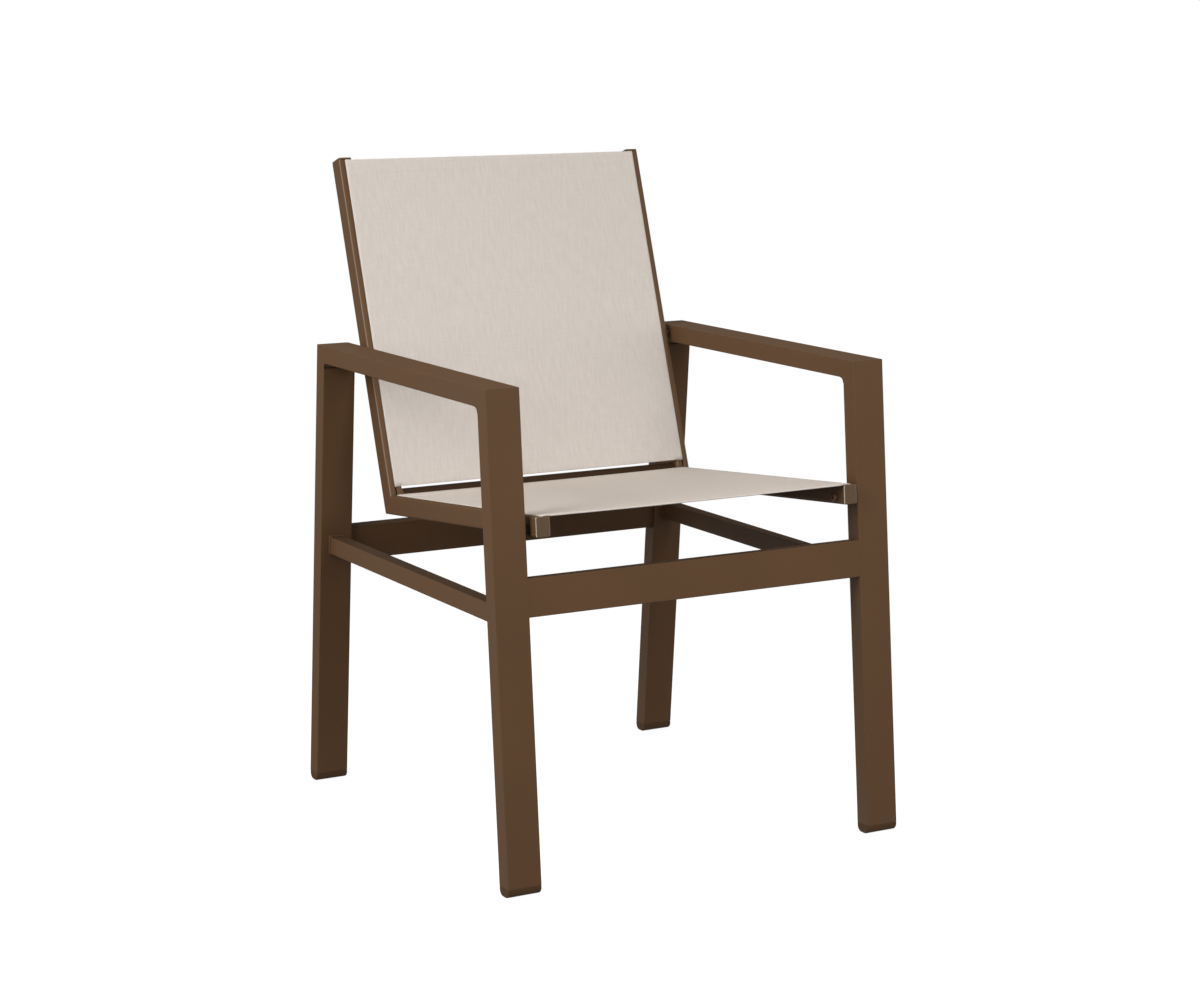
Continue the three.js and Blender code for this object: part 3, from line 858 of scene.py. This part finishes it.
weld = {
    "seamRadius": 0.00045,
    "seamInset": 0.0004,
    "lineStep": 0.00034,
    "filletRadius": 0.0016,
    "outside": 0.35,  # shares of that radius: how far a bead's middle lies outside the welded tube
    "off": 0.3,  # and off the leg or rail that the tube meets
    "ripple": 0.09,
    "ripplePitch": 0.0016,
    "step": 0.0006,
    "seamStride": 3,  # a seam without ripple needs a point at every third step only
    "tipSize": 0.55,
    "tipGrowth": 0.2,
    "sides": 8,
    "cornerSteps": 5,
    "ringPoints": 48,
    "apronStop": 0.004,
    "apronCorner": 0.002,
    "slotEdge": 0.0018,
}
beadOutside = weld["filletRadius"] * weld["outside"]
beadOff = weld["filletRadius"] * weld["off"]


def roundedLoop(width, depth, radius):
    loop, steps = [], weld["cornerSteps"]
    for quarter, (sx, sy) in enumerate(((1, 1), (-1, 1), (-1, -1), (1, -1))):
        for step in range(steps + 1):
            angle = math.pi / 2 * (quarter + step / steps)
            x, y = sx * (width / 2 - radius), sy * (depth / 2 - radius)
            loop.append((x + radius * math.cos(angle), y + radius * math.sin(angle)))
    return loop


def evenly(path, step, closed):
    # the same path, with a point at every step
    if closed:
        path = path + [path[0]]
    lengths = [(b - a).length for a, b in zip(path, path[1:])]
    count = max(3, round(sum(lengths) / step))
    result, leg, gone = [], 0, 0.0
    for i in range(count if closed else count + 1):
        target = sum(lengths) * i / count
        while leg < len(lengths) - 1 and gone + lengths[leg] < target:
            gone += lengths[leg]
            leg += 1
        share = (target - gone) / lengths[leg] if lengths[leg] else 0.0
        result.append(path[leg].lerp(path[leg + 1], min(share, 1.0)))
    return result


def beadMesh(name, paths):
    # paths: (points, radius, ripple, closed)
    points, faces = [], []
    count = weld["sides"]
    for path, radius, ripple, closed in paths:
        line = evenly(path, weld["step"] if ripple else weld["seamStride"] * weld["step"], closed)
        first = len(points)
        normal = None
        for i, point in enumerate(line):
            before = line[i - 1] if closed or i else point
            after = line[(i + 1) % len(line)] if closed or i < len(line) - 1 else point
            along = (after - before).normalized()
            if normal is None:
                normal = along.orthogonal().normalized()
            normal = (normal - along * normal.dot(along)).normalized()
            other = along.cross(normal)
            scale = abs(math.sin(math.pi * (i * weld["step"]) / weld["ripplePitch"]))
            swell = radius * (1 + ripple * (scale - 0.5))
            if not closed:
                swell *= min(1.0, weld["tipSize"] + weld["tipGrowth"] * min(i, len(line) - 1 - i))
            for k in range(count):
                angle = 2 * math.pi * k / count
                points.append(point + normal * swell * math.cos(angle) + other * swell * math.sin(angle))
        rings = len(line)
        for i in range(rings if closed else rings - 1):
            near, far = first + i * count, first + (i + 1) % rings * count
            turn = 0
            if closed and i == rings - 1:  # the last ring joins the first at its nearest corner
                gaps = [(points[near] - points[far + k]).length for k in range(count)]
                turn = gaps.index(min(gaps))
            faces += bandFaces(near, far, count, turn)
        if not closed:
            faces.append(tuple(first + k for k in reversed(range(count))))
            faces.append(tuple(first + (rings - 1) * count + k for k in range(count)))
    return meshFrom(name, points, faces)


def flushSeam(path, closed=True):
    return (path, weld["seamRadius"], 0.0, closed)


def filletBead(path, closed=True):
    return (path, weld["filletRadius"], weld["ripple"], closed)


def mitreSeam(end, side):
    # between a leg and its arm, in the plane that halves their corner
    up, inward = legAxes(end)
    outer = at(legOuterY(end, chair["armHeight"]), chair["armHeight"])
    face = outer + inward * chair["tubeDepth"]
    inner = meet(face, up, at(0, chair["armHeight"] - chair["tubeDepth"]), Vector((0, 1, 0)))
    span, middle = (outer - inner) / chair["tubeDepth"], (outer + inner) / 2
    inset = 2 * weld["seamInset"]
    loop = roundedLoop(chair["legWidth"] - inset, chair["tubeDepth"] - inset, chair["tubeCorner"] - inset / 2)
    return flushSeam([middle + span * y + xAxis * (x + side * chair["legCentreX"]) for x, y in loop])


def sideRailWelds(end, side):
    low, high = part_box("side_rail_left")
    width, depth, height = high.x - low.x, high.z - low.z, (low.z + high.z) / 2
    depthOnLevel = chair["tubeDepth"] / math.cos(lean)
    path, grow = [], beadOutside
    for x, z in roundedLoop(width + 2 * grow, depth + 2 * grow, chair["tubeCorner"] + grow):
        y = legOuterY(end, height + z) - end * (depthOnLevel + beadOff)
        path.append(at(y, height + z, x + side * chair["legCentreX"]))
    return filletBead(path)


def apronWelds(name, end, side):
    up, inward = legAxes(end)
    height, depth = chair["apronHeight"], chair["apronDepth"]
    middle = boxMiddle(name)
    centre = Vector((0, middle.y, middle.z))
    x, inset = side * (chair["legInnerX"] - chair["clearance"] / 2), 2 * weld["seamInset"]
    seam = roundedLoop(height - inset, depth - inset, chair["tubeCorner"] - inset / 2)
    flush = [centre + up * a + inward * b + xAxis * x for a, b in seam]
    a, b, cut = height / 2 + beadOutside, depth / 2 + beadOutside, weld["apronCorner"]
    x = side * (chair["legInnerX"] - beadOff)
    begin = -depth / 2 + weld["apronStop"]  # the bead stops short of the flush face
    # two more lines close the groove that the leg's rounded edge leaves beside the apron
    reach, face = height / 2 - weld["seamInset"], -depth / 2 + weld["seamInset"]
    lines = []
    for step in (1, 2):
        across = xAxis * side * (chair["legInnerX"] + step * weld["lineStep"])
        lines.append(flushSeam([centre + up * p + inward * face + across for p in (-reach, reach)], False))
    threeSides = [(a, begin), (a, b - cut), (a - cut, b), (-a + cut, b), (-a, b - cut), (-a, begin)]
    fillet = [centre + up * p + inward * q + xAxis * x for p, q in threeSides]
    return [flushSeam(flush), filletBead(fillet, False)] + lines


def cornerSeam(side):
    # between a seat rail and a back rail, from one lip of the slot round to the other
    depth, slotEdge = chair["railDepth"], weld["slotEdge"]
    outer = meet(corner + seatDown * depth, seatRun, corner + backDown * depth, backRun)
    span, middle = (outer - corner) / depth, (outer + corner) / 2
    inset = 2 * weld["seamInset"]
    loop = roundedLoop(chair["railWidth"] - inset, depth - inset, chair["railCorner"] - inset / 2)
    face = -depth / 2 + weld["seamInset"]
    lastQuarter = len(loop) * 3 // 4  # the corner beside the slot on its positive side
    ordered = [(slotEdge, face)] + loop[lastQuarter:] + loop[:lastQuarter] + [(-slotEdge, face)]
    centreX = side * chair["railCentreX"]
    return flushSeam([middle + span * y + xAxis * (x + centreX) for x, y in ordered], False)


def spreaderWelds(name):
    low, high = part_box(name)
    centre, radius = (low + high) / 2, (high.z - low.z) / 2 + beadOutside
    loop = [2 * math.pi * k / weld["ringPoints"] for k in range(weld["ringPoints"])]
    ring = [(centre.y + radius * math.cos(t), centre.z + radius * math.sin(t)) for t in loop]
    places = [side * (chair["railInnerX"] - beadOff) for side in sides.values()]
    return [filletBead([Vector((x, y, z)) for y, z in ring]) for x in places]


weldGroups = {
    "arm_welds": [mitreSeam(end, side) for end in ends.values() for side in sides.values()],
    "side_rail_welds": [sideRailWelds(end, side) for end in ends.values() for side in sides.values()],
    "front_apron_welds": [w for side in sides.values() for w in apronWelds("front_apron", -1, side)],
    "rear_apron_welds": [w for side in sides.values() for w in apronWelds("rear_apron", 1, side)],
    "sling_corner_welds": [cornerSeam(side) for side in sides.values()],
    "spreader_welds": [
        w for name in ("corner_spreader", "seat_spreader", "upper_back_spreader") for w in spreaderWelds(name)
    ],
}
for weldName, beads in weldGroups.items():
    # welds of the side rails and aprons take the paint with painted shade on its tops
    paint = "underSeatShadeWeldPaint" if "side_rail" in weldName or "apron" in weldName else "framePaint"
    newPiece(weldName, beadMesh(weldName, beads), paint)
print("welds made")


# Bolts: a button head with a hexagon socket, its shank through the rail into the threaded insert

bolt = {
    "shank": 0.003,
    "length": 0.0396,
    "headRadius": 0.0062,
    "headHeight": 0.0034,
    "socketFlat": 0.002,
    "socketDepth": 0.0019,
    "socketFloor": (0.3, 0.0004),  # share of the socket's width, and how much deeper
    "socketRim": (0.0002, 0.00015),  # how much wider at the mouth, and over what depth
    "crown": (0.5, 0.64, 0.77, 0.88, 0.95, 0.985, 1.0),  # rings of the head, as shares of its radius
    "crownFlat": 0.45,
    "crownDrop": 0.82,
    "neck": (0.0003, 0.0004),
    "tip": 0.0006,
    "facets": 36,
    "sharpAngle": math.radians(35),
}


def boltRings():
    # each ring: share of the socket's hexagon, a round radius added to it, place along the bolt
    shank, head, height = bolt["shank"], bolt["headRadius"], bolt["headHeight"]
    floorShare, floorDepth = bolt["socketFloor"]
    rimWidth, rimDepth = bolt["socketRim"]
    neckWidth, neckLength = bolt["neck"]
    top, floor, flat = -height, -height + bolt["socketDepth"], bolt["crownFlat"]
    rings = [(floorShare, 0, floor + floorDepth), (1, 0, floor), (1, 0, top + rimDepth), (1, rimWidth, top)]
    for share in bolt["crown"]:
        bulge = math.sqrt(max(0.0, 1 - ((share - flat) / (1 - flat)) ** 2))
        rings.append((0, head * share, top + height * bolt["crownDrop"] * (1 - bulge)))
    rings += [(0, head, 0.0), (0, shank + neckWidth, 0.0), (0, shank, neckLength)]
    return rings + [(0, shank, bolt["length"] - bolt["tip"]), (0, shank - bolt["tip"], bolt["length"])]


def makeBolt(name, side, centre):
    facets, rings = bolt["facets"], boltRings()
    points, faces = [], []
    for share, added, along in rings:
        for k in range(facets):
            angle = 2 * math.pi * k / facets
            hexagon = bolt["socketFlat"] / math.cos((angle + math.pi / 6) % (math.pi / 3) - math.pi / 6)
            radius = share * hexagon + added
            points.append((side * along, radius * math.cos(angle), radius * math.sin(angle)))
    for i in range(len(rings) - 1):
        faces += bandFaces(i * facets, (i + 1) * facets, facets)
    faces.append(tuple(range(facets)))
    faces.append(tuple((len(rings) - 1) * facets + k for k in range(facets)))
    mesh = meshFrom(name, points, faces)
    work = bmesh.new()
    work.from_mesh(mesh)
    bmesh.ops.recalc_face_normals(work, faces=work.faces)
    work.to_mesh(mesh)
    work.free()
    headX = side * (chair["railInnerX"] - chair["clearance"])
    matrix = Matrix.Translation((headX, centre.y, centre.z))
    piece = newPiece(name + "_socket", mesh, "boltPaint", matrix)
    mesh.set_sharp_from_angle(angle=bolt["sharpAngle"])
    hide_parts(name)


for sideName, side in sides.items():
    makeBolt("seat_bolt_" + sideName, side, seatBolt)
    makeBolt("back_bolt_" + sideName, side, backBolt)
print("bolts made")

# Rounded corners shade as one curve, and what is moulded has softened edges

softening = {
    "widths": {"cap": 0.0012, "foot": 0.0004, "spacer": 0.0004},
    "segments": 3,
    "leastTurn": math.radians(50),
    "joinDistance": 0.00001,
    "normalWeight": 60,
}


def soften(name, node):
    node.modifiers.new("joined faces", "WELD").merge_threshold = softening["joinDistance"]
    for word, width in softening["widths"].items():
        if word in name:
            edges = node.modifiers.new("softened edges", "BEVEL")
            edges.width = width
            edges.segments = softening["segments"]
            edges.limit_method = "ANGLE"
            edges.angle_limit = softening["leastTurn"]
            # a cap's plug, hidden in the rail, has edges that would hold back the width everywhere
            edges.use_clamp_overlap = word != "cap"
    node.modifiers.new("even shading", "WEIGHTED_NORMAL").weight = softening["normalWeight"]


for nodeName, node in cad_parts.items():
    if "sling" not in nodeName and "bolt" not in nodeName:
        soften(nodeName, node)


# Studio

studio = {
    "floorSize": 14.0,
    "floorColour": srgb(58, 57, 55),
    "floorGlow": 0.86,
    "floorLit": 0.3,
    "shadowReach": (0.7, 1.5),  # the floor's shadow fades out between these distances from the chair
    "surround": 0.45,
    "lampTarget": Vector((0, 0, 0.5)),
}


def mixShaders(tree, factor, first, second, place):
    node = addNode(tree, "ShaderNodeMixShader", place)
    for socket, source in zip(node.inputs, (factor, first.outputs[0], second.outputs[0])):
        tree.links.new(source, socket)
    return node


def makeFloor():
    half = studio["floorSize"] / 2
    corners = [(-half, -half, 0), (half, -half, 0), (half, half, 0), (-half, half, 0)]
    floor = bpy.data.objects.new("floor", meshFrom("floor", corners, [(0, 1, 2, 3)]))
    bpy.context.scene.collection.objects.link(floor)
    material, tree, output = emptyMaterial("floorWhite")
    plain = addNode(tree, "ShaderNodeBsdfDiffuse", (1, 0))
    plain.inputs["Color"].default_value = studio["floorColour"]
    faint = addNode(tree, "ShaderNodeBsdfDiffuse", (1, 1))
    faint.inputs["Color"].default_value = (studio["floorLit"],) * 3 + (1,)
    glow = addNode(tree, "ShaderNodeEmission", (1, 2))
    glow.inputs["Strength"].default_value = studio["floorGlow"]
    near = addNode(tree, "ShaderNodeAddShader", (2, 1))
    tree.links.new(faint.outputs[0], near.inputs[0])
    tree.links.new(glow.outputs[0], near.inputs[1])
    white = addNode(tree, "ShaderNodeEmission", (2, 3))
    distance = addNode(tree, "ShaderNodeVectorMath", (0, 4), operation="LENGTH")
    tree.links.new(addNode(tree, "ShaderNodeTexCoord", (-1, 4)).outputs["Object"], distance.inputs[0])
    fade = remap(tree, distance.outputs["Value"], *studio["shadowReach"], 0.0, 1.0, (1, 4))
    seen = mixShaders(tree, fade, near, white, (3, 2))
    choose = mixShaders(tree, raySeen(tree), plain, seen, (4, 0))
    # clear from below, so that the feet and the seat's underside can be looked at
    clear = addNode(tree, "ShaderNodeBsdfTransparent", (4, 2))
    below = addNode(tree, "ShaderNodeNewGeometry", (4, 4)).outputs["Backfacing"]
    sided = mixShaders(tree, below, choose, clear, (5, 0))
    tree.links.new(sided.outputs[0], output.inputs[0])
    floor.data.materials.append(material)


def raySeen(tree):
    # 1 where the camera, a reflection or a clear material looks
    rays = addNode(tree, "ShaderNodeLightPath", (-2, 0))
    seen = calc(tree, "MAXIMUM", rays.outputs["Is Camera Ray"], rays.outputs["Is Glossy Ray"])
    return calc(tree, "MAXIMUM", seen, rays.outputs["Is Transmission Ray"])


def makeSurround():
    world = bpy.data.worlds.new("studio")
    bpy.context.scene.world = world
    world.use_nodes = True
    tree = world.node_tree
    background = tree.nodes["Background"]
    background.inputs["Color"].default_value = (1, 1, 1, 1)
    strength = remap(tree, raySeen(tree), 0.0, 1.0, studio["surround"], 1.0)
    tree.links.new(strength, background.inputs["Strength"])


lamps = {
    "keyFront": {"place": (0.2, -2.2, 1.5), "size": 1.2, "power": 26},
    "leftHigh": {"place": (-2.6, -0.6, 1.8), "size": 1.3, "power": 37},
    "leftLow": {"place": (-2.6, -0.8, 1.1), "size": 1.3, "power": 11},
    "leftNear": {"place": (-1.6, -0.5, 2.0), "size": 1.0, "power": 6},
    "rightLow": {"place": (2.2, -1.6, 1.1), "size": 1.3, "power": 8},
    "rearSoft": {"place": (0.9, 2.6, 0.5), "size": 0.9, "power": 18},
}


def makeLamps():
    for name, lamp in lamps.items():
        light = bpy.data.lights.new(name, "AREA")
        light.shape = "SQUARE"
        light.size = lamp["size"]
        light.energy = lamp["power"]
        holder = bpy.data.objects.new(name, light)
        holder.location = lamp["place"]
        holder.rotation_mode = "QUATERNION"
        holder.rotation_quaternion = (studio["lampTarget"] - holder.location).to_track_quat("-Z", "Y")
        holder.visible_camera = False  # one of them stands within the picture
        bpy.context.scene.collection.objects.link(holder)


camera = {
    "place": (-1.78787, -3.20235, 1.11257),
    "yaw": 0.5124,
    "pitch": -0.1824,
    "focalPixels": 2678.32,
    "imageWidth": 1200,
    "sensorWidth": 36,
    "clipEnd": 60,
}


def makeCamera():
    data = bpy.data.cameras.new("photographCamera")
    data.sensor_width = camera["sensorWidth"]
    data.lens = camera["focalPixels"] / camera["imageWidth"] * data.sensor_width
    data.clip_end = camera["clipEnd"]
    holder = bpy.data.objects.new("photographCamera", data)
    holder.location = camera["place"]
    yaw, pitch = camera["yaw"], camera["pitch"]
    forward = Vector((math.sin(yaw) * math.cos(pitch), math.cos(yaw) * math.cos(pitch), math.sin(pitch)))
    holder.rotation_mode = "QUATERNION"
    holder.rotation_quaternion = forward.to_track_quat("-Z", "Y")
    bpy.context.scene.collection.objects.link(holder)
    bpy.context.scene.camera = holder


makeFloor()
makeSurround()
makeLamps()
makeCamera()
bpy.context.scene.view_settings.view_transform = "Standard"
print("studio made")
